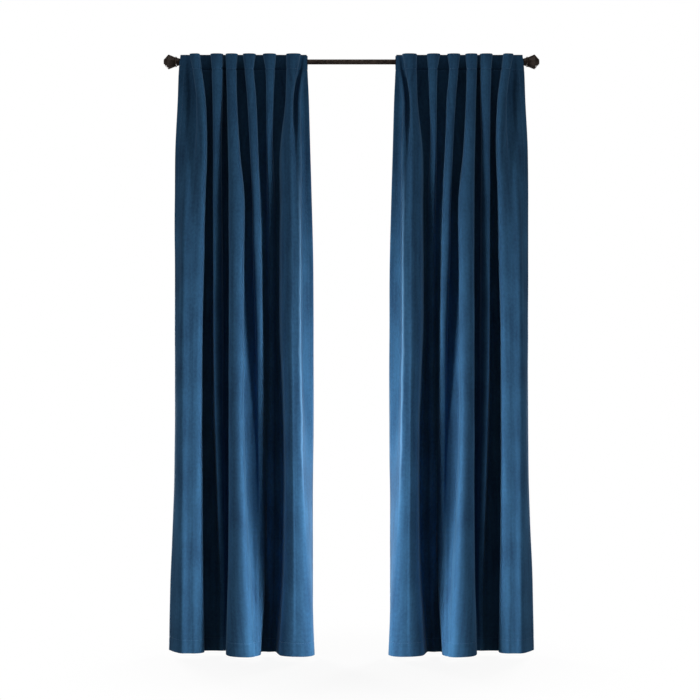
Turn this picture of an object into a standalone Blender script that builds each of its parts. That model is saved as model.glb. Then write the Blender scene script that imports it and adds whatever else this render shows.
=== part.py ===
"""A pair of back-tab velvet curtain panels hanging from a rod with faceted finials.

The origin is on the rod's axis at mid-length. X runs along the rod, the curtain's front faces -Y
and Z is up. Sizes below are in millimetres, and the mesh is in metres.

Each panel is one sheet of cloth. Its line is worked out at a row of heights from the fold tables,
which give sizes for one panel as distances out from the pair's middle and forward of the rod's axis.
The other panel is its mirror image.
"""

import math

import bmesh
import bpy
from mathutils import Matrix, Vector

MM = 0.001

# Cloth
CLOTH_WIDTH = 1016.0
CLOTH_DROP = 2134.0
CLOTH_THICK = 2.5
TOP_ABOVE_ROD = 23.0
FLOOR_AT_ROD = 14.0
RIDGE_SAG = 0.055
SAG_FADES_BY = 140.0

# Heading band and tabs
BAND_THICK = 1.5
BAND_DROP = 31.0
SEWN_GAP = 0.4
TAB_WIDTH = 24.0
TAB_THICK = 1.5
TAB_TOP = 20.0
TAB_BOTTOM = -29.0
TAB_UPPER_BEND = 4.0
TAB_LOWER_BEND = 6.0
TAB_LEAVES_ROD = math.radians(240)

# Rod and finials
ROD_DIAMETER = 18.0
ROD_LENGTH = 1246.0
ROD_SIDES = 32
SEAT_GAP = 0.3
FINIAL_SIDES = 8
# Rings of the knob, from its outer end: distance from the middle of the rod, corner radius, turn in steps.
KNOB_RINGS = (
    (671.0, 8.5, 0.5),
    (654.5, 27.0, 0.0),
    (630.2, 17.5, 0.5),
)
# Outline of the collar and its neck: distance from the middle of the rod, radius.
COLLAR_OUTLINE = (
    (629.9, 16.0),
    (629.0, 18.4),
    (625.4, 18.4),
    (624.2, 15.0),
    (611.0, 11.4),
)

# Heights at which the cloth's line is worked out, as drops below the rod's axis.
CLOTH_ROWS = (
    -TOP_ABOVE_ROD, BAND_DROP, 80, 136, 225, 315, 494, 708, 958, 1280, 1423, 1566, 1709, 1852, 1981,
    CLOTH_DROP - TOP_ABOVE_ROD,
)
POINTS_PER_SPAN = 2

# Columns of each fold's rows. Outer and inner are its two sides, seen from the front, and the fronts are
# its two front corners. A tuck is how far the neck draws in behind that side. It is below zero where
# the side slopes out into the recess instead.
FOLD_COLUMNS = ("drop", "outer", "inner", "front_outer", "front_inner", "tuck_outer", "tuck_inner")
FOLDS = (
    # Fold 1 leans in, then opens into the outer lobe.
    (
        (-23, 574, 540, 64, 68, 5, 5),
        (31, 564, 533, 64, 68, 5, 5),
        (136, 551, 520, 60, 66, 4, 5),
        (315, 552, 515, 54, 64, -6, 3),
        (494, 561, 522, 55, 58, -10, 3),
        (708, 564, 526, 56, 54, -11, 4),
        (958, 566, 532, 55, 51, -11, 5),
        (1280, 568, 534, 49, 46, -11, 7),
        (1566, 569, 533, 42, 39, -12, 9),
        (1852, 570, 531, 36, 31, -13, 12),
        (2111, 569, 528, 22, 12, -15, 14),
    ),
    # Fold 2 fades back and dies out in the first recess.
    (
        (-23, 500, 457, 66, 66, 6, 6),
        (31, 496, 457, 66, 66, 6, 6),
        (136, 493, 459, 60, 62, 5, 5),
        (315, 492, 463, 52, 50, 3, 3),
        (494, 493, 463, 42, 38, 1, 0),
        (708, 493, 463, 34, 26, -2, -3),
        (958, 493, 462, 25, 15, -4, -5),
        (1280, 490, 460, 10, 2, -8, -8),
        (1566, 482, 455, -4, -11, -11, -8),
        (1852, 476, 452, -21, -25, -12, -6),
        (2111, 478, 459, -31, -31, -11, -6),
    ),
    # Fold 3 widens into the middle lobe, the foremost one at the hem.
    (
        (-23, 446, 405, 66, 66, 6, 6),
        (31, 445, 409, 66, 66, 6, 6),
        (136, 441, 408, 68, 68, 6, 6),
        (315, 437, 398, 74, 76, 6, 6),
        (494, 436, 381, 78, 82, 6, 5),
        (708, 435, 382, 80, 86, 7, 4),
        (958, 436, 383, 80, 88, 8, 4),
        (1280, 436, 382, 80, 92, 8, 4),
        (1566, 436, 373, 81, 97, 9, 2),
        (1852, 439, 358, 80, 99, 10, -3),
        (2111, 446, 346, 78, 96, 12, -5),
    ),
    # Fold 4 slants in and becomes the middle lobe's sloping flank.
    (
        (-23, 385, 341, 66, 66, 6, 6),
        (31, 379, 348, 66, 66, 6, 6),
        (136, 370, 340, 64, 62, 5, 5),
        (315, 360, 333, 60, 58, 4, 4),
        (494, 353, 326, 56, 54, 3, 4),
        (708, 350, 320, 48, 50, 1, 4),
        (958, 342, 317, 30, 32, -1, 3),
        (1280, 338, 316, 1, 0, -5, -2),
        (1566, 335, 313, -10, -14, -6, -4),
        (1852, 332, 312, 2, -4, -6, -2),
        (2111, 332, 323, 64, 54, -5, 3),
    ),
    # Fold 5 is the shortest and dies out in the second recess.
    (
        (-23, 314, 269, 66, 66, 6, 6),
        (31, 305, 273, 66, 66, 6, 6),
        (136, 302, 278, 58, 54, 4, 4),
        (315, 302, 281, 36, 30, -1, -1),
        (494, 299, 276, 18, 12, -4, -4),
        (708, 298, 275, 3, -2, -7, -6),
        (958, 297, 275, -8, -11, -8, -7),
        (1280, 297, 275, -18, -19, -8, -8),
        (1566, 297, 275, -21, -22, -8, -8),
        (1852, 297, 277, -16, -17, -8, -8),
        (2111, 303, 286, -9, -9, -8, -8),
    ),
    # Fold 6 opens into the inner lobe, with a sloping outer flank.
    (
        (-23, 231, 181, 66, 68, 6, 6),
        (31, 231, 191, 64, 68, 6, 6),
        (136, 234, 207, 50, 70, 0, 3),
        (315, 249, 207, 48, 68, -6, -4),
        (494, 250, 206, 48, 72, -7, -5),
        (708, 251, 204, 50, 76, -7, -5),
        (958, 250, 204, 52, 80, -7, -5),
        (1280, 239, 202, 54, 82, -7, -6),
        (1566, 238, 200, 58, 83, -7, -6),
        (1852, 244, 196, 61, 83, -7, -7),
        (2111, 261, 196, 66, 84, -8, -8),
    ),
)

# Columns of the recess floors: how far forward the cloth lies between folds 1 and 2, 2 and 3, and so on.
RECESS_COLUMNS = ("drop", "1_2", "2_3", "3_4", "4_5", "5_6")
RECESSES = (
    (-23, 14, 14, 14, 14, 14),
    (31, 14, 14, 14, 14, 14),
    (136, 12, 12, 12, 12, 12),
    (315, -2, -1, 8, 2, 2),
    (494, -14, -12, 6, -8, -10),
    (708, -25, -23, 4, -17, -19),
    (958, -33, -31, -4, -24, -26),
    (1280, -38, -37, -12, -28, -30),
    (1566, -40, -39, -14, -28, -30),
    (1852, -38, -37, 18, -22, -22),
    (2111, -33, -33, 76, -13, -13),
)

# Columns of the two side strips: distance out and forward of each line that runs down the strip.
OUTER_COLUMNS = ("drop", "edge", "edge_on", "crease", "crease_on", "pocket", "pocket_on")
OUTER_STRIP = (
    (-23, 610, 14, 592, 15, 580, 14),
    (31, 616, 14, 590, 16, 579, 14),
    (136, 620, 10, 592, 22, 572, 13),
    (315, 629, 4, 599, 28, 582, 32),
    (494, 631, 0, 606, 32, 592, 48),
    (708, 631, -4, 611, 30, 597, 54),
    (958, 631, -8, 616, 28, 600, 53),
    (1280, 632, -16, 620, 20, 602, 47),
    (1566, 637, -26, 624, 10, 604, 39),
    (1852, 650, -36, 630, -1, 605, 33),
    (2111, 657, -48, 633, -8, 606, 20),
)
INNER_COLUMNS = (
    "drop", "pocket", "pocket_on", "ridge", "ridge_on", "crease", "crease_on", "edge", "edge_on",
)
INNER_STRIP = (
    (-23, 175, 14, 168, 15, 163, 14.5, 160, 14),
    (31, 183, 14, 175, 18, 166, 16, 157, 14),
    (136, 198, 28, 187, 43, 178, 13, 152, 11),
    (315, 195, 56, 184, 62, 175, 14, 147, 10),
    (494, 193, 70, 183, 70, 174, 16, 142, 8),
    (708, 191, 77, 182, 75, 172, 22, 137, 5),
    (958, 189, 80, 181, 77, 169, 32, 136, 1),
    (1280, 187, 83, 179, 79, 165, 42, 136, -3),
    (1566, 184, 84, 172, 79, 157, 50, 139, -6),
    (1852, 178, 85, 162, 80, 146, 50, 139, -8),
    (2111, 173, 86, 150, 78, 132, 50, 142, -12),
)
SHOULDER_SHARE = 0.2
SIDE_SHARE = 0.55
FOOT_SHARE = 0.12

VELVET = ("velvet", (0.025, 0.09, 0.19), 0.9, 0.0)
BRONZE = ("dark_bronze", (0.03, 0.026, 0.024), 0.45, 0.8)


def clear_scene():
    for obj in list(bpy.data.objects):
        bpy.data.objects.remove(obj, do_unlink=True)


def material(finish):
    name, colour, roughness, metallic = finish
    made = bpy.data.materials.get(name)
    if made is None:
        made = bpy.data.materials.new(name)
        made.use_nodes = True
        shader = made.node_tree.nodes["Principled BSDF"]
        shader.inputs["Base Color"].default_value = (*colour, 1.0)
        shader.inputs["Roughness"].default_value = roughness
        shader.inputs["Metallic"].default_value = metallic
    return made


def add_object(name, bm, finish):
    bmesh.ops.recalc_face_normals(bm, faces=bm.faces)
    mesh = bpy.data.meshes.new(name)
    bm.to_mesh(mesh)
    bm.free()
    obj = bpy.data.objects.new(name, mesh)
    obj.data.materials.append(material(finish))
    bpy.context.scene.collection.objects.link(obj)
    return obj


def at_drop(rows, columns, drop):
    """The named values of a table at this drop, on smooth curves through its rows."""
    last = len(rows) - 1
    low = 0
    while low < last - 1 and drop > rows[low + 1][0]:
        low += 1
    before, start = rows[max(low - 1, 0)], rows[low]
    end, after = rows[low + 1], rows[min(low + 2, last)]
    span = end[0] - start[0]
    t = (drop - start[0]) / span
    values = {}
    for k, column in enumerate(columns):
        slope_in = span * (end[k] - before[k]) / (end[0] - before[0])
        slope_out = span * (after[k] - start[k]) / (after[0] - start[0])
        values[column] = (
            start[k] * (1 + 2 * t) * (1 - t) ** 2
            + slope_in * t * (1 - t) ** 2
            + end[k] * t * t * (3 - 2 * t)
            - slope_out * t * t * (1 - t)
        )
    return values


def fold_line(drop):
    """The points that shape the cloth's line at this drop, from its outer side edge to its inner one."""
    outer = at_drop(OUTER_STRIP, OUTER_COLUMNS, drop)
    inner = at_drop(INNER_STRIP, INNER_COLUMNS, drop)
    recess = at_drop(RECESSES, RECESS_COLUMNS, drop)
    folds = [at_drop(rows, FOLD_COLUMNS, drop) for rows in FOLDS]
    floors = [outer["pocket_on"], *(recess[name] for name in RECESS_COLUMNS[1:]), inner["pocket_on"]]
    line = [
        (outer["edge"], outer["edge_on"]),
        (outer["crease"], outer["crease_on"]),
        (outer["pocket"], outer["pocket_on"]),
    ]
    for i, fold in enumerate(folds):
        before, after = floors[i], floors[i + 1]
        rise_outer = fold["front_outer"] - before
        rise_inner = fold["front_inner"] - after
        shoulder = SHOULDER_SHARE * (fold["outer"] - fold["inner"])
        line += [
            (fold["outer"] - fold["tuck_outer"], before + FOOT_SHARE * rise_outer),
            (fold["outer"], before + SIDE_SHARE * rise_outer),
            (fold["outer"] - shoulder, fold["front_outer"]),
            (fold["inner"] + shoulder, fold["front_inner"]),
            (fold["inner"], after + SIDE_SHARE * rise_inner),
            (fold["inner"] + fold["tuck_inner"], after + FOOT_SHARE * rise_inner),
        ]
        if i + 1 < len(folds):
            far_side = folds[i + 1]["outer"] - folds[i + 1]["tuck_outer"]
            near_side = fold["inner"] + fold["tuck_inner"]
            line.append(((near_side + far_side) / 2, after))
    line += [
        (inner["pocket"], inner["pocket_on"]),
        (inner["ridge"], inner["ridge_on"]),
        (inner["crease"], inner["crease_on"]),
        (inner["edge"], inner["edge_on"]),
    ]
    return [Vector(point) for point in line]


def smooth_line(points, per_span):
    """A centripetal Catmull-Rom curve through the points."""
    ends = [2 * points[0] - points[1], *points, 2 * points[-1] - points[-2]]
    curve = [points[0]]
    for i in range(1, len(points)):
        p = ends[i - 1 : i + 3]
        knots = [0.0]
        for a, b in zip(p, p[1:]):
            knots.append(knots[-1] + max((b - a).length, 0.01) ** 0.5)
        k0, k1, k2, k3 = knots
        for step in range(1, per_span + 1):
            k = k1 + (k2 - k1) * step / per_span
            a1 = p[0].lerp(p[1], (k - k0) / (k1 - k0))
            a2 = p[1].lerp(p[2], (k - k1) / (k2 - k1))
            a3 = p[2].lerp(p[3], (k - k2) / (k3 - k2))
            b1 = a1.lerp(a2, (k - k0) / (k2 - k0))
            b2 = a2.lerp(a3, (k - k1) / (k3 - k1))
            curve.append(b1.lerp(b2, (k - k1) / (k2 - k1)))
    return curve


def line_length(points):
    return sum((b - a).length for a, b in zip(points, points[1:]))


def deepened(points, scale):
    return [Vector((p.x, FLOOR_AT_ROD + scale * (p.y - FLOOR_AT_ROD))) for p in points]


def cloth_line(drop, per_span):
    """The cloth's line at this drop, its folds deepened or eased so that it holds the full cloth width."""
    points = fold_line(drop)
    low, high = 0.5, 2.0
    for _ in range(30):
        scale = (low + high) / 2
        if line_length(smooth_line(deepened(points, scale), 8)) < CLOTH_WIDTH:
            low = scale
        else:
            high = scale
    return smooth_line(deepened(points, scale), per_span)


def offset_line(points, distance):
    """The line moved back towards the rod by this distance, square to itself, with mitred corners."""
    moved = []
    for i, point in enumerate(points):
        towards = (points[min(i + 1, len(points) - 1)] - point).normalized()
        away = (point - points[max(i - 1, 0)]).normalized()
        along = (towards + away).normalized()
        square = along.dot(away if i else towards)
        moved.append(point + Vector((along.y, -along.x)) * -distance / square)
    return moved


def cloth_point(side, point, drop):
    """A point of the line as it lies in the room, with the top edge sagging a little on each ridge."""
    fade = max(0.0, 1 - (drop + TOP_ABOVE_ROD) / SAG_FADES_BY)
    sag = RIDGE_SAG * (point.y - FLOOR_AT_ROD) * fade
    return Vector((side * point.x, -point.y, -drop - sag)) * MM


def add_sheet(name, rows, thick, finish):
    """A closed sheet through rows of points, thickened equally to both sides."""
    bm = bmesh.new()
    across, down = len(rows[0]), len(rows)
    bmesh.ops.create_grid(bm, x_segments=across - 1, y_segments=down - 1, size=1.0)
    bm.verts.ensure_lookup_table()
    for vertex, place in zip(bm.verts, [point for row in rows for point in row]):
        vertex.co = place
    obj = add_object(name, bm, finish)
    solidify = obj.modifiers.new("thickness", "SOLIDIFY")
    solidify.thickness = thick * MM
    solidify.offset = 0.0
    solidify.use_even_offset = True
    solidify.use_quality_normals = True
    return obj


def add_panel(name, side):
    rows = [
        [cloth_point(side, p, drop) for p in cloth_line(drop, POINTS_PER_SPAN)] for drop in CLOTH_ROWS
    ]
    return add_sheet(name, rows, CLOTH_THICK, VELVET)


def band_offset():
    return CLOTH_THICK / 2 + SEWN_GAP + BAND_THICK / 2


def add_heading(name, side):
    """The band sewn behind the top of the panel, stopping short of the side hems."""
    rows = []
    for drop in (-TOP_ABOVE_ROD, BAND_DROP):
        line = offset_line(cloth_line(drop, POINTS_PER_SPAN), band_offset())
        kept = line[1:-1]
        rows.append([cloth_point(side, p, drop) for p in kept])
    return add_sheet(name, rows, BAND_THICK, VELVET)


def tab_path():
    """The middle line of a tab as (forward, up) points: down the band, round the rod, back to the band."""
    sewn_at = FLOOR_AT_ROD - band_offset() - BAND_THICK / 2 - SEWN_GAP - TAB_THICK / 2
    wrap = ROD_DIAMETER / 2 + SEAT_GAP + TAB_THICK / 2
    path = [(sewn_at, TAB_TOP)]
    path += arc(sewn_at - TAB_UPPER_BEND, wrap + TAB_UPPER_BEND, TAB_UPPER_BEND, 0.0, -math.pi / 2, 3)
    path += arc(0.0, 0.0, wrap, math.pi / 2, TAB_LEAVES_ROD, 8)
    leaving = TAB_LEAVES_ROD - math.pi
    bend_out = sewn_at - TAB_LOWER_BEND * (1 - math.cos(leaving))
    run = (bend_out + wrap * math.cos(leaving)) / math.sin(leaving)
    bend_up = -wrap * math.sin(leaving) - run * math.cos(leaving)
    centre_up = bend_up - TAB_LOWER_BEND * math.sin(leaving)
    path += arc(sewn_at - TAB_LOWER_BEND, centre_up, TAB_LOWER_BEND, leaving, 0.0, 3)
    path.append((sewn_at, TAB_BOTTOM))
    return path


def arc(centre_out, centre_up, radius, start, end, steps):
    turns = [start + (end - start) * i / steps for i in range(steps + 1)]
    return [(centre_out + radius * math.cos(a), centre_up + radius * math.sin(a)) for a in turns]


def tab_places():
    """How far out each tab lies: at the middle of each recess and of the two side strips."""
    folds = [at_drop(rows, FOLD_COLUMNS, 0.0) for rows in FOLDS]
    outer = at_drop(OUTER_STRIP, OUTER_COLUMNS, 0.0)
    inner = at_drop(INNER_STRIP, INNER_COLUMNS, 0.0)
    places = [(outer["edge"] + outer["pocket"]) / 2]
    places += [(a["inner"] + b["outer"]) / 2 for a, b in zip(folds, folds[1:])]
    places.append((inner["pocket"] + inner["edge"]) / 2)
    return places


def add_tab(name, side, place):
    edges = (place - TAB_WIDTH / 2, place + TAB_WIDTH / 2)
    rows = [[Vector((side * x, -on, up)) * MM for x in edges] for on, up in tab_path()]
    return add_sheet(name, rows, TAB_THICK, VELVET)


def add_rod():
    bm = bmesh.new()
    bmesh.ops.create_cone(
        bm,
        cap_ends=True,
        segments=ROD_SIDES,
        radius1=ROD_DIAMETER / 2 * MM,
        radius2=ROD_DIAMETER / 2 * MM,
        depth=ROD_LENGTH * MM,
        matrix=Matrix.Rotation(math.pi / 2, 4, "Y"),
    )
    return add_object("rod", bm, BRONZE)


def add_knob(name, side):
    """The faceted knob: the hull of three rings of corners, each ring turned half a step from the next."""
    bm = bmesh.new()
    for along, radius, turn in KNOB_RINGS:
        for i in range(FINIAL_SIDES):
            angle = 2 * math.pi * (i + turn) / FINIAL_SIDES
            corner = (side * along, radius * math.cos(angle), radius * math.sin(angle))
            bm.verts.new(Vector(corner) * MM)
    bmesh.ops.convex_hull(bm, input=bm.verts)
    return add_object(name, bm, BRONZE)


def add_collar(name, side):
    """The collar and neck, spun round the rod's axis with a blind socket that takes the rod's end."""
    bore = ROD_DIAMETER / 2 + SEAT_GAP
    mouth = COLLAR_OUTLINE[-1][0]
    bottom = ROD_LENGTH / 2 + SEAT_GAP
    outline = [(COLLAR_OUTLINE[0][0], 0.0), *COLLAR_OUTLINE, (mouth, bore), (bottom, bore), (bottom, 0.0)]
    bm = bmesh.new()
    verts = [bm.verts.new(Vector((side * x, r, 0.0)) * MM) for x, r in outline]
    edges = [bm.edges.new(pair) for pair in zip(verts, verts[1:])]
    bmesh.ops.spin(
        bm,
        geom=verts + edges,
        axis=(1.0, 0.0, 0.0),
        cent=(0.0, 0.0, 0.0),
        angle=2 * math.pi,
        steps=ROD_SIDES,
        use_merge=True,
    )
    bmesh.ops.remove_doubles(bm, verts=bm.verts, dist=1e-6)
    return add_object(name, bm, BRONZE)


def main():
    clear_scene()
    add_rod()
    for word, side in (("left", -1), ("right", 1)):
        add_knob(f"finial_{word}", side)
        add_collar(f"collar_{word}", side)
        add_panel(f"panel_{word}", side)
        add_heading(f"heading_{word}", side)
        for i, place in enumerate(tab_places(), 1):
            add_tab(f"tab_{word}_{i}", side, place)


main()
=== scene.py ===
"""A pair of velvet curtain panels on a faceted-finial rod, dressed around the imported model.

The frame's origin is on the rod's axis at mid-length. X runs along the rod, the curtain's front faces -Y
and Z is up. The tables give millimetres, and the meshes are in metres.
"""

import math

import bmesh
import bpy
import numpy as np
from mathutils import Matrix, Vector, noise


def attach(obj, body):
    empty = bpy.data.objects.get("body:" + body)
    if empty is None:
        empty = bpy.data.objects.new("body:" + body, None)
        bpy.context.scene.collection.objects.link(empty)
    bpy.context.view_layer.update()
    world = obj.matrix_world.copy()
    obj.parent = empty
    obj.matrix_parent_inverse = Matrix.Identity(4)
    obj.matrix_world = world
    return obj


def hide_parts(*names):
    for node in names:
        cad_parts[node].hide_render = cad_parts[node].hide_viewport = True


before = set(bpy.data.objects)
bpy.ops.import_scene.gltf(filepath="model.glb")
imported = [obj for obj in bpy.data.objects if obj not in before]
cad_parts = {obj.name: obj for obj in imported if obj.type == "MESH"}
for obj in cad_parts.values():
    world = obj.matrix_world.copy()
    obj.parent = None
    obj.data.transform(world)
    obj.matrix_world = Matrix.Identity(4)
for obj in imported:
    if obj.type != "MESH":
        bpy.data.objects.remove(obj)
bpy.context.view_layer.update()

MM = 0.001
SIDES = (("left", -1), ("right", 1))

# Cloth
CLOTH_WIDTH = 1016.0
CLOTH_DROP = 2134.0
CLOTH_THICK = 2.5
TOP_ABOVE_ROD = 23.0
HEM_AT = CLOTH_DROP - TOP_ABOVE_ROD
FLOOR_AT_ROD = 14.0
RIDGE_SAG = 0.055
SAG_FADES_BY = 140.0

# Sewing
BOTTOM_HEM = 48.0
SIDE_HEM = 20.0
HEM_THICK = 4.0
STITCH_PITCH = 4.0
STITCH_LENGTH = 3.1
THREAD_THICK = 0.8
SEAM_DIP = 1.5
SEAM_DIP_WIDTH = 3.5
HEM_DIP_SHARE = 0.4
SIDE_DIP_SHARE = 0.5
SIDE_HEM_STARTS = 12.0

# Crease down the inner lobe, left by folding, and a pale streak of painted highlight along it. Both fade in
# from the first drop of a pair to the second. The spread is how far from the crease the painted highlight
# begins, and how near to it the painted highlight is strongest.
CREASE_HIGH = 1.5
CREASE_AT = 928.0
CREASE_WIDTH = 5.0
CREASE_IN = (420, 580)
CREASE_OUT = (1900, 1600)
CREASE_WANDER = 8.0
PAINTED_HIGHLIGHT_IN = (300, 700)
PAINTED_HIGHLIGHT_OUT = (1800, 1250)
PAINTED_HIGHLIGHT_SPREAD = (8.0, 0.5)

# Ripples of the hanging cloth: width, height, place in the noise, how far they stand out. They grow below
# the heading, from the first of two distances to the second.
RIPPLES = ((62, 420, 0, 0.5), (130, 170, 40, 1.0))
RIPPLE_SEED = 7.0
RIPPLE_GROWS = (10, 130)

# Heading band and tabs
BAND_THICK = 1.5
BAND_DROP = 31.0
SEWN_GAP = 0.4
TAB_WIDTH = 24.0
TAB_THICK = 1.5
TAB_TOP = 20.0
TAB_BOTTOM = -29.0
TAB_UPPER_BEND = 4.0
TAB_LOWER_BEND = 6.0
TAB_LEAVES_ROD = math.radians(240)
TAB_FLAT_ROWS = (0.0, 2.0, 3.0)
TAB_COLUMNS = 7
BEND_STEPS = 6
WRAP_STEPS = 20

# Rod and finials
ROD_DIAMETER = 18.0
ROD_LENGTH = 1246.0
SEAT_GAP = 0.3
FINIAL_SIDES = 8
ROUND_STEPS = 64
ROD_EDGE = 0.8
KNOB_EDGE = 0.7
NECK_EDGE = 0.35
EDGE_STEPS = 2
# Edges that turn by more degrees than these are shaded sharp. The neck's rings above the last are bevelled.
ROD_SHARP = 40
KNOB_SHARP = 14
NECK_SHARP = 30
NECK_BEVELLED = 25
# Rings of the knob, from its outer end: distance from the middle of the rod, corner radius, turn in steps.
KNOB_RINGS = (
    (671.0, 8.5, 0.5),
    (654.5, 27.0, 0.0),
    (630.2, 17.5, 0.5),
)
# Outline of the collar and its neck: distance from the middle of the rod, radius.
COLLAR_OUTLINE = (
    (629.9, 16.0),
    (629.0, 18.4),
    (625.4, 18.4),
    (624.2, 15.0),
    (611.0, 11.4),
)

# Columns of each fold's rows. Outer and inner are its two sides, seen from the front, and the fronts are
# its two front corners. A tuck is how far the neck draws in behind that side. It is below zero where
# the side slopes out into the recess instead.
FOLD_COLUMNS = ("drop", "outer", "inner", "front_outer", "front_inner", "tuck_outer", "tuck_inner")
FOLDS = (
    # Fold 1 leans in, then opens into the outer lobe.
    (
        (-23, 574, 540, 64, 68, 5, 5),
        (31, 564, 533, 64, 68, 5, 5),
        (136, 551, 520, 60, 66, 4, 5),
        (315, 552, 515, 54, 64, -6, 3),
        (494, 561, 522, 55, 58, -10, 3),
        (708, 564, 526, 56, 54, -11, 4),
        (958, 566, 532, 55, 51, -11, 5),
        (1280, 568, 534, 49, 46, -11, 7),
        (1566, 569, 533, 42, 39, -12, 9),
        (1852, 570, 531, 36, 31, -13, 12),
        (2111, 569, 528, 22, 12, -15, 14),
    ),
    # Fold 2 fades back and dies out in the first recess.
    (
        (-23, 500, 457, 66, 66, 6, 6),
        (31, 496, 457, 66, 66, 6, 6),
        (136, 493, 459, 60, 62, 5, 5),
        (315, 492, 463, 52, 50, 3, 3),
        (494, 493, 463, 42, 38, 1, 0),
        (708, 493, 463, 34, 26, -2, -3),
        (958, 493, 462, 25, 15, -4, -5),
        (1280, 490, 460, 10, 2, -8, -8),
        (1566, 482, 455, -4, -11, -11, -8),
        (1852, 476, 452, -21, -25, -12, -6),
        (2111, 478, 459, -31, -31, -11, -6),
    ),
    # Fold 3 widens into the middle lobe, the foremost one at the hem.
    (
        (-23, 446, 405, 66, 66, 6, 6),
        (31, 445, 409, 66, 66, 6, 6),
        (136, 441, 408, 68, 68, 6, 6),
        (315, 437, 398, 74, 76, 6, 6),
        (494, 436, 381, 78, 82, 6, 5),
        (708, 435, 382, 80, 86, 7, 4),
        (958, 436, 383, 80, 88, 8, 4),
        (1280, 436, 382, 80, 92, 8, 4),
        (1566, 436, 373, 81, 97, 9, 2),
        (1852, 439, 358, 80, 99, 10, -3),
        (2111, 446, 346, 78, 96, 12, -5),
    ),
    # Fold 4 slants in and becomes the middle lobe's sloping flank.
    (
        (-23, 385, 341, 66, 66, 6, 6),
        (31, 379, 348, 66, 66, 6, 6),
        (136, 370, 340, 64, 62, 5, 5),
        (315, 360, 333, 60, 58, 4, 4),
        (494, 353, 326, 56, 54, 3, 4),
        (708, 350, 320, 48, 50, 1, 4),
        (958, 342, 317, 30, 32, -1, 3),
        (1280, 338, 316, 1, 0, -5, -2),
        (1566, 335, 313, -10, -14, -6, -4),
        (1852, 332, 312, 2, -4, -6, -2),
        (2111, 332, 323, 64, 54, -5, 3),
    ),
    # Fold 5 is the shortest and dies out in the second recess.
    (
        (-23, 314, 269, 66, 66, 6, 6),
        (31, 305, 273, 66, 66, 6, 6),
        (136, 302, 278, 58, 54, 4, 4),
        (315, 302, 281, 36, 30, -1, -1),
        (494, 299, 276, 18, 12, -4, -4),
        (708, 298, 275, 3, -2, -7, -6),
        (958, 297, 275, -8, -11, -8, -7),
        (1280, 297, 275, -18, -19, -8, -8),
        (1566, 297, 275, -21, -22, -8, -8),
        (1852, 297, 277, -16, -17, -8, -8),
        (2111, 303, 286, -9, -9, -8, -8),
    ),
    # Fold 6 opens into the inner lobe, with a sloping outer flank.
    (
        (-23, 231, 181, 66, 68, 6, 6),
        (31, 231, 191, 64, 68, 6, 6),
        (136, 234, 207, 50, 70, 0, 3),
        (315, 249, 207, 48, 68, -6, -4),
        (494, 250, 206, 48, 72, -7, -5),
        (708, 251, 204, 50, 76, -7, -5),
        (958, 250, 204, 52, 80, -7, -5),
        (1280, 239, 202, 54, 82, -7, -6),
        (1566, 238, 200, 58, 83, -7, -6),
        (1852, 244, 196, 61, 83, -7, -7),
        (2111, 261, 196, 66, 84, -8, -8),
    ),
)

# Columns of the recess floors: how far forward the cloth lies between folds 1 and 2, 2 and 3, and so on.
RECESS_COLUMNS = ("drop", "1_2", "2_3", "3_4", "4_5", "5_6")
RECESSES = (
    (-23, 14, 14, 14, 14, 14),
    (31, 14, 14, 14, 14, 14),
    (136, 12, 12, 12, 12, 12),
    (315, -2, -1, 8, 2, 2),
    (494, -14, -12, 6, -8, -10),
    (708, -25, -23, 4, -17, -19),
    (958, -33, -31, -4, -24, -26),
    (1280, -38, -37, -12, -28, -30),
    (1566, -40, -39, -14, -28, -30),
    (1852, -38, -37, 18, -22, -22),
    (2111, -33, -33, 76, -13, -13),
)

# Columns of the two side strips: distance out and forward of each line that runs down the strip.
OUTER_COLUMNS = ("drop", "edge", "edge_on", "crease", "crease_on", "pocket", "pocket_on")
OUTER_STRIP = (
    (-23, 610, 14, 592, 15, 580, 14),
    (31, 616, 14, 590, 16, 579, 14),
    (136, 620, 10, 592, 22, 572, 13),
    (315, 629, 4, 599, 28, 582, 32),
    (494, 631, 0, 606, 32, 592, 48),
    (708, 631, -4, 611, 30, 597, 54),
    (958, 631, -8, 616, 28, 600, 53),
    (1280, 632, -16, 620, 20, 602, 47),
    (1566, 637, -26, 624, 10, 604, 39),
    (1852, 650, -36, 630, -1, 605, 33),
    (2111, 657, -48, 633, -8, 606, 20),
)
INNER_COLUMNS = (
    "drop", "pocket", "pocket_on", "ridge", "ridge_on", "crease", "crease_on", "edge", "edge_on",
)
INNER_STRIP = (
    (-23, 175, 14, 168, 15, 163, 14.5, 160, 14),
    (31, 183, 14, 175, 18, 166, 16, 157, 14),
    (136, 198, 28, 187, 43, 178, 13, 152, 11),
    (315, 195, 56, 184, 62, 175, 14, 147, 10),
    (494, 193, 70, 183, 70, 174, 16, 142, 8),
    (708, 191, 77, 182, 75, 172, 22, 137, 5),
    (958, 189, 80, 181, 77, 169, 32, 136, 1),
    (1280, 187, 83, 179, 79, 165, 42, 136, -3),
    (1566, 184, 84, 172, 79, 157, 50, 139, -6),
    (1852, 178, 85, 162, 80, 146, 50, 139, -8),
    (2111, 173, 86, 150, 78, 132, 50, 142, -12),
)
SHOULDER_SHARE = 0.2
SIDE_SHARE = 0.55
FOOT_SHARE = 0.12

# Mesh of a panel: points along each span of its line, and how finely its rows lie. The band has fewer.
POINTS_PER_SPAN = 5
ROW_STEP = 16.0
BAND_POINTS_PER_SPAN = 4
BAND_ROWS = 8
BAND_STOPS_SHORT = 2
SEAM_ROWS = (-12.0, -7.0, -4.0, -2.5, -1.2, 0.0, 1.2, 2.5, 4.0, 7.0, 12.0)
EDGE_ROWS = (0.0, 1.0, 4.0, 9.0, 16.0)

# Search for the depth of the folds that makes the line as long as the cloth is wide.
DEPTH_SCALES = (0.5, 2.0)
DEPTH_HALVINGS = 24
LENGTH_POINTS_PER_SPAN = 8

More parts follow.
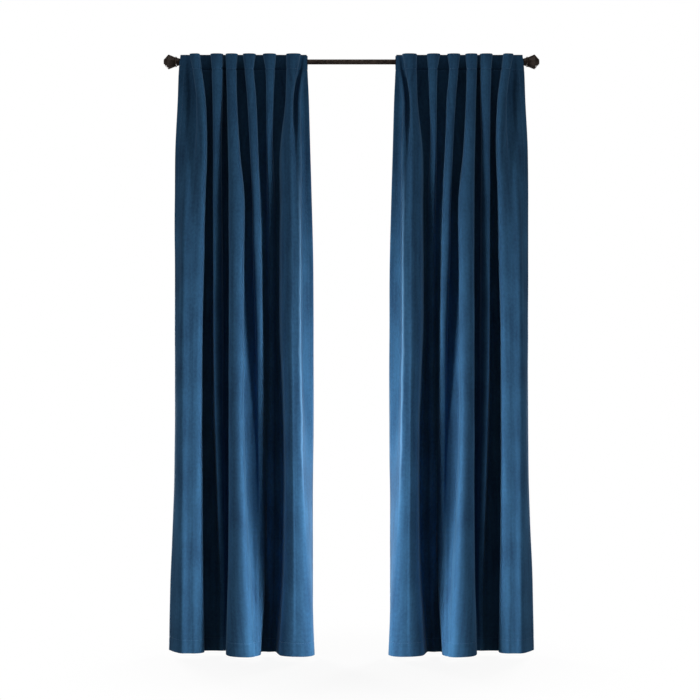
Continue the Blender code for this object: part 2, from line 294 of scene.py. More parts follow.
# Camera and floor, in metres. The lens and sensor are in millimetres.
CAMERA_AT = (-0.0054, -6.545, -1.0298)
LENS = 94.15
SENSOR = 36.0
SEEN_TO = 50.0
FLOOR_RADIUS = 2.2
FLOOR_BELOW_HEM = 0.015


def linear(code):
    """An sRGB hex value as linear red, green, blue and alpha."""
    parts = [int(code[i : i + 2], 16) / 255 for i in (1, 3, 5)]
    return (*[c / 12.92 if c <= 0.04045 else ((c + 0.055) / 1.055) ** 2.4 for c in parts], 1.0)


def node(tree, kind, settings=None, inputs=None, **links):
    """Adds a node, sets its properties and sockets, and links the named sockets from other nodes' outputs."""
    made = tree.nodes.new(kind)
    for name, value in (settings or {}).items():
        setattr(made, name, value)
    for name, value in (inputs or {}).items():
        made.inputs[name].default_value = value
    for name, source in links.items():
        tree.links.new(source, made.inputs[int(name[1:]) if name[1:].isdigit() else name.replace("_", " ")])
    return made


def at_drop(rows, columns, drop):
    """The named values of a table at this drop, on smooth curves through its rows."""
    last = len(rows) - 1
    low = 0
    while low < last - 1 and drop > rows[low + 1][0]:
        low += 1
    before, start = rows[max(low - 1, 0)], rows[low]
    end, after = rows[low + 1], rows[min(low + 2, last)]
    highlight_fade = end[0] - start[0]
    t = (drop - start[0]) / highlight_fade
    values = {}
    for k, column in enumerate(columns):
        slope_in = highlight_fade * (end[k] - before[k]) / (end[0] - before[0])
        slope_out = highlight_fade * (after[k] - start[k]) / (after[0] - start[0])
        values[column] = (
            start[k] * (1 + 2 * t) * (1 - t) ** 2
            + slope_in * t * (1 - t) ** 2
            + end[k] * t * t * (3 - 2 * t)
            - slope_out * t * t * (1 - t)
        )
    return values


def fold_line(drop):
    """The points that shape the cloth's line at this drop, from its outer side edge to its inner one."""
    outer = at_drop(OUTER_STRIP, OUTER_COLUMNS, drop)
    inner = at_drop(INNER_STRIP, INNER_COLUMNS, drop)
    recess = at_drop(RECESSES, RECESS_COLUMNS, drop)
    folds = [at_drop(rows, FOLD_COLUMNS, drop) for rows in FOLDS]
    floors = [outer["pocket_on"], *(recess[name] for name in RECESS_COLUMNS[1:]), inner["pocket_on"]]
    line = [
        (outer["edge"], outer["edge_on"]),
        (outer["crease"], outer["crease_on"]),
        (outer["pocket"], outer["pocket_on"]),
    ]
    for i, fold in enumerate(folds):
        before, after = floors[i], floors[i + 1]
        rise_outer = fold["front_outer"] - before
        rise_inner = fold["front_inner"] - after
        shoulder = SHOULDER_SHARE * (fold["outer"] - fold["inner"])
        line += [
            (fold["outer"] - fold["tuck_outer"], before + FOOT_SHARE * rise_outer),
            (fold["outer"], before + SIDE_SHARE * rise_outer),
            (fold["outer"] - shoulder, fold["front_outer"]),
            (fold["inner"] + shoulder, fold["front_inner"]),
            (fold["inner"], after + SIDE_SHARE * rise_inner),
            (fold["inner"] + fold["tuck_inner"], after + FOOT_SHARE * rise_inner),
        ]
        if i + 1 < len(folds):
            far_side = folds[i + 1]["outer"] - folds[i + 1]["tuck_outer"]
            near_side = fold["inner"] + fold["tuck_inner"]
            line.append(((near_side + far_side) / 2, after))
    line += [
        (inner["pocket"], inner["pocket_on"]),
        (inner["ridge"], inner["ridge_on"]),
        (inner["crease"], inner["crease_on"]),
        (inner["edge"], inner["edge_on"]),
    ]
    return np.array(line)


def smooth_line(points, per_span):
    """A centripetal Catmull-Rom curve through the points."""
    ends = np.vstack((2 * points[0] - points[1], points, 2 * points[-1] - points[-2]))
    gaps = np.maximum(np.linalg.norm(np.diff(ends, axis=0), axis=1), 0.01) ** 0.5
    p0, p1, p2, p3 = (ends[i : len(ends) - 3 + i, None, :] for i in range(4))
    knots = [np.zeros(len(p0)), gaps[:-2]]
    knots.append(knots[1] + gaps[1:-1])
    knots.append(knots[2] + gaps[2:])
    k0, k1, k2, k3 = (k[:, None, None] for k in knots)
    k = k1 + (k2 - k1) * (np.arange(1, per_span + 1) / per_span)[None, :, None]
    a1 = p0 + (p1 - p0) * (k - k0) / (k1 - k0)
    a2 = p1 + (p2 - p1) * (k - k1) / (k2 - k1)
    a3 = p2 + (p3 - p2) * (k - k2) / (k3 - k2)
    b1 = a1 + (a2 - a1) * (k - k0) / (k2 - k0)
    b2 = a2 + (a3 - a2) * (k - k1) / (k3 - k1)
    curve = b1 + (b2 - b1) * (k - k1) / (k2 - k1)
    return np.vstack((points[:1], curve.reshape(-1, 2)))


def line_length(points):
    return np.linalg.norm(np.diff(points, axis=0), axis=1).sum()


def deepened(points, scale):
    return np.column_stack((points[:, 0], FLOOR_AT_ROD + scale * (points[:, 1] - FLOOR_AT_ROD)))


def cloth_line(drop, per_span):
    """The cloth's line at this drop, its folds deepened or eased so that it holds the full cloth width."""
    points = fold_line(drop)
    low, high = DEPTH_SCALES
    for _ in range(DEPTH_HALVINGS):
        scale = (low + high) / 2
        if line_length(smooth_line(deepened(points, scale), LENGTH_POINTS_PER_SPAN)) < CLOTH_WIDTH:
            low = scale
        else:
            high = scale
    return smooth_line(deepened(points, scale), per_span)


def offset_line(points, distance):
    """The line moved back towards the rod by this distance, square to itself."""
    along = np.gradient(points, axis=0)
    along /= np.linalg.norm(along, axis=1)[:, None]
    return points - distance * np.column_stack((along[:, 1], -along[:, 0]))


def in_room(side, line, drop):
    """The line as it lies in the room, with the top edge sagging a little on each ridge."""
    fade = max(0.0, 1 - (drop + TOP_ABOVE_ROD) / SAG_FADES_BY)
    sag = RIDGE_SAG * (line[:, 1] - FLOOR_AT_ROD) * fade
    return np.column_stack((side * line[:, 0], -line[:, 1], -drop - sag)) * MM


def panel_drops():
    """Rows of a panel's mesh, close together at its edges and stitch lines."""
    close = [BAND_DROP + step for step in SEAM_ROWS] + [HEM_AT - BOTTOM_HEM + step for step in SEAM_ROWS]
    close += [-TOP_ABOVE_ROD + step for step in EDGE_ROWS] + [HEM_AT - step for step in EDGE_ROWS]
    first, last = BAND_DROP + 2 * ROW_STEP, HEM_AT - BOTTOM_HEM - 2 * ROW_STEP
    count = round((last - first) / ROW_STEP)
    close += [first + (last - first) * i / count for i in range(count + 1)]
    return sorted(close)


def surface_normals(places, side):
    """Unit normals of a grid of points, facing the room."""
    down = np.gradient(places, axis=0)
    across = np.gradient(places, axis=1)
    square = -side * np.cross(down, across)
    return square / np.linalg.norm(square, axis=2)[:, :, None]


def ripple(along, drop, seed):
    """Slow unevenness of hanging cloth, in millimetres: long upright ripples and a few soft dimples."""
    return sum(
        high * noise.noise(Vector((along / wide, drop / tall, seed + shift)))
        for wide, tall, shift, high in RIPPLES
    )


def share_between(value, start, end):
    """How far the value has come from the start to the end, between 0 and 1."""
    return min(1.0, max(0.0, (value - start) / (end - start)))


def dip(distance):
    """How far a row of stitches draws the cloth in at this distance from it."""
    return SEAM_DIP * math.exp(-((distance / SEAM_DIP_WIDTH) ** 2))


def crease(distance, drop):
    """How far the crease stands out. It fades in below the heading and out towards the hem."""
    fade = share_between(drop, *CREASE_IN) * share_between(drop, *CREASE_OUT)
    return CREASE_HIGH * fade * math.exp(-((distance / CREASE_WIDTH) ** 2))


def laid_out(side, lines, drops):
    """The lines' points as they lie in the room, and each point's distance along its line in millimetres."""
    places = np.array([in_room(side, line, drop) for line, drop in zip(lines, drops)])
    steps = np.linalg.norm(np.diff(np.array(lines), axis=1), axis=2)
    along = np.concatenate((np.zeros((len(drops), 1)), np.cumsum(steps, axis=1)), axis=1)
    return places, along


def panel_grid(side):
    """Front-surface points of a panel, their normals, and their place in the flat cloth in millimetres."""
    drops = panel_drops()
    places, along = laid_out(side, [cloth_line(drop, POINTS_PER_SPAN) for drop in drops], drops)
    normals = surface_normals(places, side)
    rise = np.full(along.shape, CLOTH_THICK / 2)
    for i, drop in enumerate(drops):
        fade = share_between(drop - BAND_DROP, *RIPPLE_GROWS)
        sewn = dip(drop - BAND_DROP) + HEM_DIP_SHARE * dip(drop - HEM_AT + BOTTOM_HEM)
        for j, u in enumerate(along[i]):
            edge = SIDE_DIP_SHARE * min(dip(u - SIDE_HEM) + dip(CLOTH_WIDTH - u - SIDE_HEM), SEAM_DIP)
            rise[i, j] += fade * ripple(u, drop, RIPPLE_SEED + side) - max(sewn, fade * edge)
            rise[i, j] += crease(u - CREASE_AT, drop)
    return places + normals * rise[:, :, None] * MM, normals, along, np.array(drops)


def link(name, bm, *finishes):
    """Makes the bmesh a finished object with its place in its mesh, shaded smooth."""
    mesh = bpy.data.meshes.new(name)
    bm.to_mesh(mesh)
    bm.free()
    obj = bpy.data.objects.new(name, mesh)
    for finish in finishes:
        mesh.materials.append(finish)
    mesh.shade_smooth()
    bpy.context.scene.collection.objects.link(obj)
    return obj


def grid_mesh(places, along, drops, side):
    """A bmesh sheet through a grid of points, facing the room, with the flat cloth's metres as its UV."""
    bm = bmesh.new()
    uv = bm.loops.layers.uv.new("cloth")
    down, across = places.shape[:2]
    bmesh.ops.create_grid(bm, x_segments=across - 1, y_segments=down - 1, size=1.0)
    bm.verts.ensure_lookup_table()
    flat = [(i, j) for i in range(down) for j in range(across)]
    for vertex, (i, j) in zip(bm.verts, flat):
        vertex.co = places[i, j]
    for face in bm.faces:
        for loop in face.loops:
            i, j = flat[loop.vert.index]
            loop[uv].uv = (along[i, j] * MM, -drops[i] * MM)
    if side < 0:
        bmesh.ops.reverse_faces(bm, faces=bm.faces)
    return bm


def thicken(obj, thick, offset, back=0):
    solidify = obj.modifiers.new("thickness", "SOLIDIFY")
    solidify.thickness = thick * MM
    solidify.offset = offset
    solidify.use_quality_normals = True
    solidify.material_offset = back
    return solidify


def add_panel(word, side, grid, velvet, backing):
    """A panel of cut velvet. Its hems are turned to the back, so the pile shows on them there too."""
    places, _, along, drops = grid
    bm = grid_mesh(places, along, drops, side)
    hem_slot = 2
    uv = bm.loops.layers.uv.active
    thick_at = set()
    for face in bm.faces:
        middle = sum((loop[uv].uv for loop in face.loops), Vector((0.0, 0.0))) / len(face.loops) / MM
        at_side = min(middle.x, CLOTH_WIDTH - middle.x) < SIDE_HEM
        at_bottom = -middle.y > HEM_AT - BOTTOM_HEM
        if at_side or at_bottom:
            face.material_index = hem_slot
            if -middle.y > BAND_DROP + SIDE_HEM_STARTS:
                thick_at.update(v.index for v in face.verts)
    panel = link(f"velvet_{word}", bm, velvet, backing, velvet, velvet)
    hem = panel.vertex_groups.new(name="hem")
    hem.add(sorted(thick_at), 1.0, "REPLACE")
    solidify = thicken(panel, HEM_THICK, -1.0, back=1)
    solidify.vertex_group = "hem"
    solidify.thickness_vertex_group = CLOTH_THICK / HEM_THICK
    return panel


def band_offset():
    return CLOTH_THICK / 2 + SEWN_GAP + BAND_THICK / 2


def add_heading(word, side, velvet):
    """The band sewn behind the top of the panel, stopping short of the side hems."""
    drops = np.linspace(-TOP_ABOVE_ROD, BAND_DROP, BAND_ROWS)
    lines = [offset_line(cloth_line(drop, BAND_POINTS_PER_SPAN), band_offset()) for drop in drops]
    places, along = laid_out(side, [line[BAND_STOPS_SHORT:-BAND_STOPS_SHORT] for line in lines], drops)
    band = link(f"band_{word}", grid_mesh(places, along, drops, side), velvet)
    thicken(band, BAND_THICK, 0.0)
    return band


def arc(centre_out, centre_up, radius, start, end, steps):
    turns = [start + (end - start) * i / steps for i in range(steps + 1)]
    return [(centre_out + radius * math.cos(a), centre_up + radius * math.sin(a)) for a in turns]


def tab_path():
    """The middle line of a tab as (forward, up) points: down the band, round the rod, back to the band."""
    sewn_at = FLOOR_AT_ROD - band_offset() - BAND_THICK / 2 - SEWN_GAP - TAB_THICK / 2
    wrap = ROD_DIAMETER / 2 + SEAT_GAP + TAB_THICK / 2
    path = [(sewn_at, TAB_TOP - step) for step in TAB_FLAT_ROWS]
    path += arc(
        sewn_at - TAB_UPPER_BEND, wrap + TAB_UPPER_BEND, TAB_UPPER_BEND, 0.0, -math.pi / 2, BEND_STEPS,
    )
    path += arc(0.0, 0.0, wrap, math.pi / 2, TAB_LEAVES_ROD, WRAP_STEPS)
    leaving = TAB_LEAVES_ROD - math.pi
    bend_out = sewn_at - TAB_LOWER_BEND * (1 - math.cos(leaving))
    run = (bend_out + wrap * math.cos(leaving)) / math.sin(leaving)
    bend_up = -wrap * math.sin(leaving) - run * math.cos(leaving)
    centre_up = bend_up - TAB_LOWER_BEND * math.sin(leaving)
    path += arc(sewn_at - TAB_LOWER_BEND, centre_up, TAB_LOWER_BEND, leaving, 0.0, BEND_STEPS)
    path += [(sewn_at, TAB_BOTTOM + TAB_FLAT_ROWS[-1]), (sewn_at, TAB_BOTTOM)]
    return np.array(path)


def tab_places():
    """How far out each tab lies: at the middle of each recess and of the two side strips."""
    folds = [at_drop(rows, FOLD_COLUMNS, 0.0) for rows in FOLDS]
    outer = at_drop(OUTER_STRIP, OUTER_COLUMNS, 0.0)
    inner = at_drop(INNER_STRIP, INNER_COLUMNS, 0.0)
    places = [(outer["edge"] + outer["pocket"]) / 2]
    places += [(a["inner"] + b["outer"]) / 2 for a, b in zip(folds, folds[1:])]
    places.append((inner["pocket"] + inner["edge"]) / 2)
    return places


def add_tab(name, side, place, velvet):
    """A loop of the same cloth, sewn to the band above and below the rod."""
    path = tab_path()
    edges = np.linspace(place - TAB_WIDTH / 2, place + TAB_WIDTH / 2, TAB_COLUMNS)
    places = np.array([[(side * x * MM, -on * MM, up * MM) for x in edges] for on, up in path])
    run = np.concatenate(([0.0], np.cumsum(np.linalg.norm(np.diff(path, axis=0), axis=1))))
    along = np.tile(edges, (len(path), 1))
    bm = grid_mesh(places, along, run, side)
    tab = link(name, bm, velvet)
    thicken(tab, TAB_THICK, 0.0)
    return tab


def stitch_row(points, normals):
    """Places of stitches laid end to end along the points, half sunk in the cloth."""
    points, normals = np.array(points), np.array(normals)
    steps = np.linalg.norm(np.diff(points, axis=0), axis=1) / MM
    run = np.concatenate(([0.0], np.cumsum(steps)))
    laid = []
    for centre in np.arange(STITCH_PITCH, run[-1] - STITCH_PITCH / 2, STITCH_PITCH):
        ends = [np.array([np.interp(centre + h, run, points[:, k]) for k in range(3)]) for h in (-0.5, 0.5)]
        out = Vector([np.interp(centre, run, normals[:, k]) for k in range(3)]).normalized()
        lie = Vector(ends[1] - ends[0]).normalized()
        across = lie.cross(out).normalized()
        out = across.cross(lie)
        turn = Matrix((lie, across, out)).transposed().to_4x4()
        size = Matrix.Diagonal((STITCH_LENGTH / 2 * MM, THREAD_THICK / 2 * MM, THREAD_THICK / 2 * MM, 1.0))
        laid.append(Matrix.Translation(Vector((ends[0] + ends[1]) / 2)) @ turn @ size)
    return laid


def add_stitches(word, grid, thread):
    """The heading's stitch line, the bottom hem's and both side hems', each on the front and the back."""
    places, normals, along, drops = grid
    heading = int(np.argmin(np.abs(drops - BAND_DROP)))
    hem = int(np.argmin(np.abs(drops - (HEM_AT - BOTTOM_HEM))))
    through_band = CLOTH_THICK - SEAM_DIP + SEWN_GAP + BAND_THICK
    rows = [(places[heading], normals[heading], through_band), (places[hem], normals[hem], HEM_THICK)]
    for distance in (SIDE_HEM, CLOTH_WIDTH - SIDE_HEM):
        down = range(heading, len(drops))
        line, facing = (
            np.array([[np.interp(distance, along[i], grid_of[i, :, k]) for k in range(3)] for i in down])
            for grid_of in (places, normals)
        )
        rows.append((line, facing, HEM_THICK))
    laid = []
    for line, facing, through in rows:
        laid += stitch_row(line, facing) + stitch_row(line - facing * through * MM, facing)
    stitch = bmesh.new()
    bmesh.ops.create_icosphere(stitch, subdivisions=1, radius=1.0)
    bm = bmesh.new()
    for place in laid:
        corners = [bm.verts.new(place @ corner.co) for corner in stitch.verts]
        for face in stitch.faces:
            bm.faces.new([corners[corner.index] for corner in face.verts])
    stitch.free()
    return link(f"stitches_{word}", bm, thread)


def add_rod(bronze):
    bm = bmesh.new()
    bmesh.ops.create_cone(
        bm,
        cap_ends=True,
        segments=ROUND_STEPS,
        radius1=ROD_DIAMETER / 2 * MM,
        radius2=ROD_DIAMETER / 2 * MM,
        depth=ROD_LENGTH * MM,
        matrix=Matrix.Rotation(math.pi / 2, 4, "Y"),
    )
    rims = [edge for edge in bm.edges if len(edge.link_faces[0].verts) != len(edge.link_faces[1].verts)]
    bevel(bm, rims, ROD_EDGE)
    rod = link("rod_tube", bm, bronze)
    rod.data.set_sharp_from_angle(angle=math.radians(ROD_SHARP))
    return rod


def bevel(bm, edges, width):
    bmesh.ops.bevel(
        bm,
        geom=edges,
        offset=width * MM,
        affect="EDGES",
        segments=EDGE_STEPS,
        profile=0.5,
        material=-1,
        clamp_overlap=True,
    )


def add_knob(word, side, bronze):
    """The faceted knob: the hull of three rings of corners, each ring turned half a step from the next."""
    bm = bmesh.new()
    for along, radius, turn in KNOB_RINGS:
        for i in range(FINIAL_SIDES):
            angle = 2 * math.pi * (i + turn) / FINIAL_SIDES
            corner = (side * along, radius * math.cos(angle), radius * math.sin(angle))
            bm.verts.new(Vector(corner) * MM)
    bmesh.ops.convex_hull(bm, input=bm.verts)
    bmesh.ops.dissolve_limit(bm, angle_limit=math.radians(1), verts=bm.verts, edges=bm.edges)
    bevel(bm, list(bm.edges), KNOB_EDGE)
    bmesh.ops.recalc_face_normals(bm, faces=bm.faces)
    knob = link(f"knob_{word}", bm, bronze)
    knob.data.set_sharp_from_angle(angle=math.radians(KNOB_SHARP))
    return knob


def add_neck(word, side, bronze):
    """The collar and neck, spun round the rod's axis with a blind socket that takes the rod's end."""
    bore = ROD_DIAMETER / 2 + SEAT_GAP
    mouth = COLLAR_OUTLINE[-1][0]
    bottom = ROD_LENGTH / 2 + SEAT_GAP
    outline = [(COLLAR_OUTLINE[0][0], 0.0), *COLLAR_OUTLINE, (mouth, bore), (bottom, bore), (bottom, 0.0)]
    bm = bmesh.new()
    verts = [bm.verts.new(Vector((side * x, r, 0.0)) * MM) for x, r in outline]
    edges = [bm.edges.new(pair) for pair in zip(verts, verts[1:])]
    bmesh.ops.spin(
        bm,
        geom=verts + edges,
        axis=(1.0, 0.0, 0.0),
        cent=(0.0, 0.0, 0.0),
        angle=2 * math.pi,
        steps=ROUND_STEPS,
        use_merge=True,
    )
    bmesh.ops.remove_doubles(bm, verts=bm.verts, dist=1e-6)
    bmesh.ops.recalc_face_normals(bm, faces=bm.faces)
    rings = [edge for edge in bm.edges if edge.calc_face_angle(0.0) > math.radians(NECK_BEVELLED)]
    bevel(bm, rings, NECK_EDGE)
    neck = link(f"neck_{word}", bm, bronze)
    neck.data.set_sharp_from_angle(angle=math.radians(NECK_SHARP))
    return neck


def surface(name):
    """A new material: its node tree and its shader."""
    made = bpy.data.materials.new(name)
    made.use_nodes = True
    tree = made.node_tree
    return made, tree, tree.nodes["Principled BSDF"]


def set_inputs(shader, values):
    for name, value in values.items():
        shader.inputs[name].default_value = value


def cut_velvet():
    """Cut-pile cotton velvet, woven and piece-dyed: dark into the pile, with a pale bloom on its turns and a
    highlight painted along the inner lobe's crease.
    """
    made, tree, shader = surface("cut_velvet")
    set_inputs(shader, {
        "Roughness": 0.85,
        "IOR": 1.5,
        "Specular IOR Level": 0.15,
        "Sheen Weight": 0.7,
        "Sheen Roughness": 0.35,
        "Sheen Tint": linear("#8fb6d8"),
    })
    place = node(tree, "ShaderNodeTexCoord").outputs["UV"]
    # Long strokes 12 mm wide run down the cloth, where hands and folding have turned the pile.
    stroke_at = node(tree, "ShaderNodeMapping", inputs={"Scale": (80.0, 4.0, 1.0)}, Vector=place)
    stroke = node(
        tree, "ShaderNodeTexNoise", inputs={"Scale": 1.0, "Detail": 2.0}, Vector=stroke_at.outputs[0],
    )
    # The pile leans in soft patches about 70 mm across and twice as tall, with 8 mm marks inside them.
    lean_at = node(
        tree, "ShaderNodeMapping",
        inputs={"Location": (11.7, 0.0, 0.0), "Scale": (14.0, 7.0, 1.0)}, Vector=place,
    )
    lean = node(tree, "ShaderNodeTexNoise", inputs={"Scale": 1.0, "Detail": 1.5}, Vector=lean_at.outputs[0])
    mark_at = node(tree, "ShaderNodeMapping", inputs={"Scale": (120.0, 90.0, 1.0)}, Vector=place)
    mark = node(tree, "ShaderNodeTexNoise", inputs={"Scale": 1.0, "Detail": 3.0}, Vector=mark_at.outputs[0])
    patches = node(
        tree, "ShaderNodeMix", {"data_type": "FLOAT"}, {"Factor": 0.45},
        A=lean.outputs["Fac"], B=mark.outputs["Fac"],
    )
    both = node(
        tree, "ShaderNodeMix", {"data_type": "FLOAT"}, {"Factor": 0.3},
        A=patches.outputs["Result"], B=stroke.outputs["Fac"],
    )
    dye = node(tree, "ShaderNodeValToRGB", Fac=both.outputs["Result"])
    dye.color_ramp.elements[0].position = 0.34
    dye.color_ramp.elements[0].color = linear("#1f4162")
    dye.color_ramp.elements[1].position = 0.66
    dye.color_ramp.elements[1].color = linear("#326187")
    # A highlight is painted along the crease as a pale streak. The crease wanders a little about a straight
    # line.
    across = node(tree, "ShaderNodeSeparateXYZ", Vector=place)
    wander = node(
        tree, "ShaderNodeTexNoise", {"noise_dimensions": "1D"}, {"Scale": 9.0, "Detail": 2.0},
        W=across.outputs["Y"],
    )
    bent = node(
        tree, "ShaderNodeMath", {"operation": "MULTIPLY_ADD"}, {1: CREASE_WANDER * MM},
        _0=wander.outputs["Fac"], _2=across.outputs["X"],
    )
    from_crease = node(
        tree, "ShaderNodeMath", {"operation": "SUBTRACT"}, {1: (CREASE_AT + CREASE_WANDER / 2) * MM},
        _0=bent.outputs[0],
    )
    off = node(tree, "ShaderNodeMath", {"operation": "ABSOLUTE"}, _0=from_crease.outputs[0])
    highlight_near_crease = node(
        tree, "ShaderNodeMapRange", {"interpolation_type": "SMOOTHSTEP"},
        {"From Min": PAINTED_HIGHLIGHT_SPREAD[0] * MM, "From Max": PAINTED_HIGHLIGHT_SPREAD[1] * MM, "To Max": 0.5},
        Value=off.outputs[0],
    )
    fades_in, fades_out = (
        node(
            tree, "ShaderNodeMapRange", {"interpolation_type": "SMOOTHSTEP"},
            {"From Min": -start * MM, "From Max": -end * MM}, Value=across.outputs["Y"],
        )
        for start, end in (PAINTED_HIGHLIGHT_IN, PAINTED_HIGHLIGHT_OUT)
    )
    highlight_fade = node(
        tree, "ShaderNodeMath", {"operation": "MULTIPLY"}, _0=fades_in.outputs[0], _1=fades_out.outputs[0],
    )
    highlight_share = node(tree, "ShaderNodeMath", {"operation": "MULTIPLY"}, _0=highlight_fade.outputs[0], _1=highlight_near_crease.outputs[0])
    # The painted highlight: a pale blue mixed into the dye near the crease, where light would catch it.
    painted_highlight = node(
        tree, "ShaderNodeMix", {"data_type": "RGBA"}, {7: linear("#6fa3d0")},
        _0=highlight_share.outputs[0], _6=dye.outputs["Color"],
    )
    tree.links.new(painted_highlight.outputs[2], shader.inputs["Base Color"])
    # Tufts of pile stand 0.5 mm apart. They are drawn 1.6 mm apart, to show in close views.
    pile_at = node(tree, "ShaderNodeMapping", inputs={"Scale": (620.0, 620.0, 1.0)}, Vector=place)
    pile = node(tree, "ShaderNodeTexNoise", inputs={"Scale": 1.0, "Detail": 2.0}, Vector=pile_at.outputs[0])
    nap = node(
        tree, "ShaderNodeBump", inputs={"Strength": 0.25, "Distance": 0.0004}, Height=pile.outputs["Fac"],
    )
    ridge = node(
        tree, "ShaderNodeBump", inputs={"Strength": 0.3, "Distance": 0.0012},
        Height=both.outputs["Result"], Normal=nap.outputs["Normal"],
    )
    tree.links.new(ridge.outputs["Normal"], shader.inputs["Normal"])
    return made


def woven_backing():
    """The plain-woven cotton back of the velvet: flatter, duller and greyer than the pile."""
    made, tree, shader = surface("woven_backing")
    set_inputs(shader, {"Roughness": 0.95, "IOR": 1.5, "Specular IOR Level": 0.1, "Sheen Weight": 0.1})
    place = node(tree, "ShaderNodeTexCoord").outputs["UV"]
    # Threads lie 0.6 mm apart. They are drawn 2 mm apart, to show in close views.
    threads = [
        node(
            tree, "ShaderNodeTexWave",
            {"bands_direction": way, "wave_profile": "SIN"},
            {"Scale": 2 * math.pi / (20 * 0.002), "Distortion": 1.2, "Detail": 1.0},
            Vector=place,
        ).outputs["Fac"]
        for way in ("X", "Y")
    ]
    weave = node(tree, "ShaderNodeMath", {"operation": "MULTIPLY"}, _0=threads[0], _1=threads[1])
    dye = node(tree, "ShaderNodeValToRGB", Fac=weave.outputs[0])
    dye.color_ramp.elements[0].color = linear("#223f5b")
    dye.color_ramp.elements[1].color = linear("#3d6282")
    tree.links.new(dye.outputs["Color"], shader.inputs["Base Color"])
    relief = node(
        tree, "ShaderNodeBump", inputs={"Strength": 0.3, "Distance": 0.0004}, Height=weave.outputs[0],
    )
    tree.links.new(relief.outputs["Normal"], shader.inputs["Normal"])
    return made


def polyester_thread():
    """Twisted polyester sewing thread, a step lighter than the pile and a little glossy."""
    made, tree, shader = surface("polyester_thread")
    set_inputs(shader, {"Roughness": 0.5, "IOR": 1.5, "Sheen Weight": 0.3})
    place = node(tree, "ShaderNodeTexCoord").outputs["Object"]
    # The twist repeats about every 1 mm, and each stitch takes the dye a little differently.
    tone = node(tree, "ShaderNodeTexNoise", inputs={"Scale": 900.0, "Detail": 1.0}, Vector=place)
    dye = node(tree, "ShaderNodeValToRGB", Fac=tone.outputs["Fac"])
    dye.color_ramp.elements[0].color = linear("#315f8c")
    dye.color_ramp.elements[1].color = linear("#5082b0")
    tree.links.new(dye.outputs["Color"], shader.inputs["Base Color"])
    return made


def dark_bronze():
    """Steel with a sprayed oil-rubbed bronze lacquer: nearly black brown with a soft satin gleam."""
    made, tree, shader = surface("sprayed_dark_bronze")
    set_inputs(shader, {"Metallic": 0.5, "Coat Weight": 0.1, "Coat Roughness": 0.4})
    place = node(tree, "ShaderNodeTexCoord").outputs["Object"]
    # The rubbed finish clouds over about 12 mm, and the sprayed grain is 1 mm.
    cloud = node(tree, "ShaderNodeTexNoise", inputs={"Scale": 80.0, "Detail": 4.0}, Vector=place)
    tone = node(tree, "ShaderNodeValToRGB", Fac=cloud.outputs["Fac"])
    tone.color_ramp.elements[0].position = 0.35
    tone.color_ramp.elements[0].color = linear("#352e2a")
    tone.color_ramp.elements[1].position = 0.7
    tone.color_ramp.elements[1].color = linear("#5c5049")
    tree.links.new(tone.outputs["Color"], shader.inputs["Base Color"])
    gleam = node(
        tree, "ShaderNodeMapRange", inputs={"To Min": 0.45, "To Max": 0.6}, Value=cloud.outputs["Fac"],
    )
    tree.links.new(gleam.outputs["Result"], shader.inputs["Roughness"])
    grain = node(tree, "ShaderNodeTexNoise", inputs={"Scale": 1000.0, "Detail": 2.0}, Vector=place)
    relief = node(
        tree, "ShaderNodeBump", inputs={"Strength": 0.12, "Distance": 0.0003}, Height=grain.outputs["Fac"],
    )
    tree.links.new(relief.outputs["Normal"], shader.inputs["Normal"])
    return made


def add_camera():
    camera = bpy.data.cameras.new("camera")
    camera.sensor_width = SENSOR
    camera.lens = LENS
    camera.clip_end = SEEN_TO
    holder = bpy.data.objects.new("camera", camera)
    holder.location = CAMERA_AT
    holder.rotation_euler = (math.pi / 2, 0.0, 0.0)
    bpy.context.scene.collection.objects.link(holder)
    bpy.context.scene.camera = holder


def add_light(name, place, towards, size, power, spread=180.0):
    """A white area light that the camera doesn't see. Places and sizes are in metres, the power in watts."""
    light = bpy.data.lights.new(name, "AREA")
    light.shape = "RECTANGLE"
    light.size, light.size_y = size
    light.energy = power
    light.spread = math.radians(spread)
    holder = bpy.data.objects.new(name, light)
    holder.location = place
    holder.rotation_euler = (Vector(towards) - Vector(place)).to_track_quat("-Z", "Y").to_euler()
    holder.visible_camera = False
    bpy.context.scene.collection.objects.link(holder)
    return holder


def add_studio(panels):
    """For each panel a raking key from its window side and a small one for its outer lobe. Soft fills."""
    for word, side in SIDES:
        key = add_light(
            f"key_{word}", (-side * 1.85, -1.33, -1.9), (side * 0.4, 0.0, -1.9), (0.8, 1.2), 27.0, 75.0,
        )
        kick = add_light(
            f"kick_{word}", (-side * 0.69, -1.0, -1.95), (side * 0.62, 0.0, -1.95), (0.3, 0.3), 0.25, 30.0,
        )
        lit = bpy.data.collections.new(f"lit_by_key_{word}")
        for piece in panels[word]:
            lit.objects.link(piece)
        for light in (key, kick):
            light.light_linking.receiver_collection = lit
        add_light(f"fill_{word}", (side * 2.9, -1.7, -1.9), (side * 0.3, 0.0, -1.9), (0.5, 1.2), 35.0)
        add_light(f"behind_{word}", (side * 1.5, 2.6, -0.6), (0.0, 0.0, -1.0), (0.6, 1.6), 80.0)
    add_light("above", (0.0, -0.7, 1.3), (0.0, -0.1, 0.0), (2.0, 0.7), 5.0)
    world = bpy.data.worlds.new("studio")
    bpy.context.scene.world = world
    world.use_nodes = True
    tree = world.node_tree
    tree.nodes.clear()
    path = node(tree, "ShaderNodeLightPath")
    dim = node(tree, "ShaderNodeBackground", inputs={"Color": (1.0, 0.82, 0.72, 1.0), "Strength": 0.1})
    white = node(tree, "ShaderNodeBackground", inputs={"Color": (1.0, 1.0, 1.0, 1.0), "Strength": 1.0})
    mix = node(
        tree, "ShaderNodeMixShader",
        _0=path.outputs["Is Camera Ray"], _1=dim.outputs[0], _2=white.outputs[0],
    )
    node(tree, "ShaderNodeOutputWorld", Surface=mix.outputs[0])
    bpy.context.scene.view_settings.view_transform = "Standard"


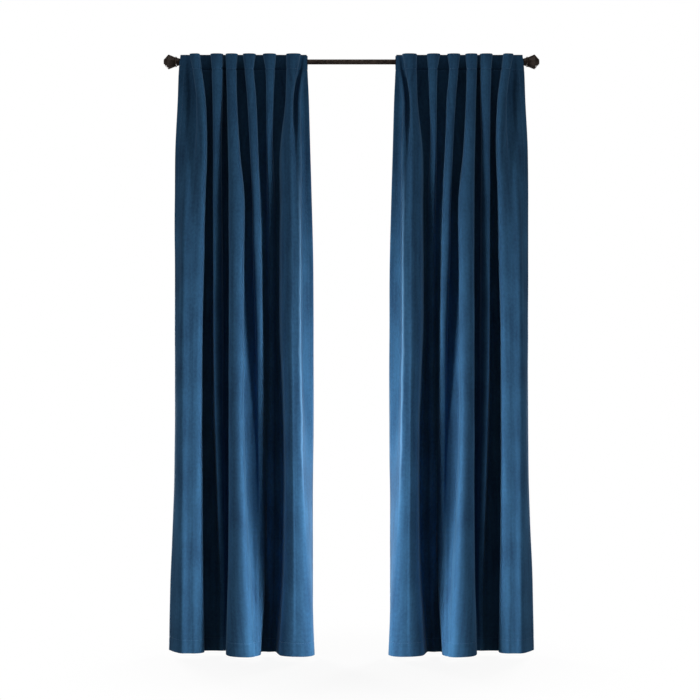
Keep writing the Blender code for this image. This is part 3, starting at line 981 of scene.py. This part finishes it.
def add_floor():
    """A pale floor just under the hems that fades into the white surround."""
    bm = bmesh.new()
    bmesh.ops.create_circle(
        bm, cap_ends=True, segments=ROUND_STEPS, radius=FLOOR_RADIUS,
        matrix=Matrix.Translation((0.0, 0.0, -HEM_AT * MM - FLOOR_BELOW_HEM)),
    )
    made, tree, shader = surface("pale_floor_paint")
    set_inputs(shader, {"Base Color": linear("#f2f1ee"), "Roughness": 0.7})
    place = node(tree, "ShaderNodeTexCoord").outputs["Object"]
    flat = node(tree, "ShaderNodeMapping", inputs={"Scale": (1.0, 1.0, 0.0)}, Vector=place)
    reach = node(tree, "ShaderNodeVectorMath", {"operation": "LENGTH"}, Vector=flat.outputs[0])
    fade = node(
        tree, "ShaderNodeMapRange", {"interpolation_type": "SMOOTHSTEP"},
        {"From Min": 0.3, "From Max": 1.2, "To Min": 0.92}, Value=reach.outputs["Value"],
    )
    glow = node(tree, "ShaderNodeEmission", inputs={"Strength": 1.0})
    mix = node(
        tree, "ShaderNodeMixShader",
        _0=fade.outputs["Result"], _1=shader.outputs[0], _2=glow.outputs[0],
    )
    tree.links.new(mix.outputs[0], tree.nodes["Material Output"].inputs["Surface"])
    floor = link("floor", bm, made)
    floor.visible_diffuse = False
    floor.visible_glossy = False


def place_piece(piece, slot, *nodes):
    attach(piece, "root")
    if nodes:
        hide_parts(*nodes)


def main():
    add_camera()
    velvet, backing, thread, bronze = cut_velvet(), woven_backing(), polyester_thread(), dark_bronze()
    place_piece(add_rod(bronze), "dark_bronze", "rod")
    panels = {}
    for word, side in SIDES:
        place_piece(add_knob(word, side, bronze), "dark_bronze", f"finial_{word}")
        place_piece(add_neck(word, side, bronze), "dark_bronze", f"collar_{word}")
        grid = panel_grid(side)
        panel = add_panel(word, side, grid, velvet, backing)
        place_piece(panel, "velvet", f"panel_{word}")
        sewn_on = [add_heading(word, side, velvet)]
        place_piece(sewn_on[0], "velvet", f"heading_{word}")
        for i, place in enumerate(tab_places(), 1):
            tab = add_tab(f"loop_{word}_{i}", side, place, velvet)
            place_piece(tab, "velvet", f"tab_{word}_{i}")
            sewn_on.append(tab)
        stitches = add_stitches(word, grid, thread)
        place_piece(stitches, "velvet")
        sewn_on.append(stitches)
        panels[word] = [panel, *sewn_on]
    add_studio(panels)
    add_floor()


main()
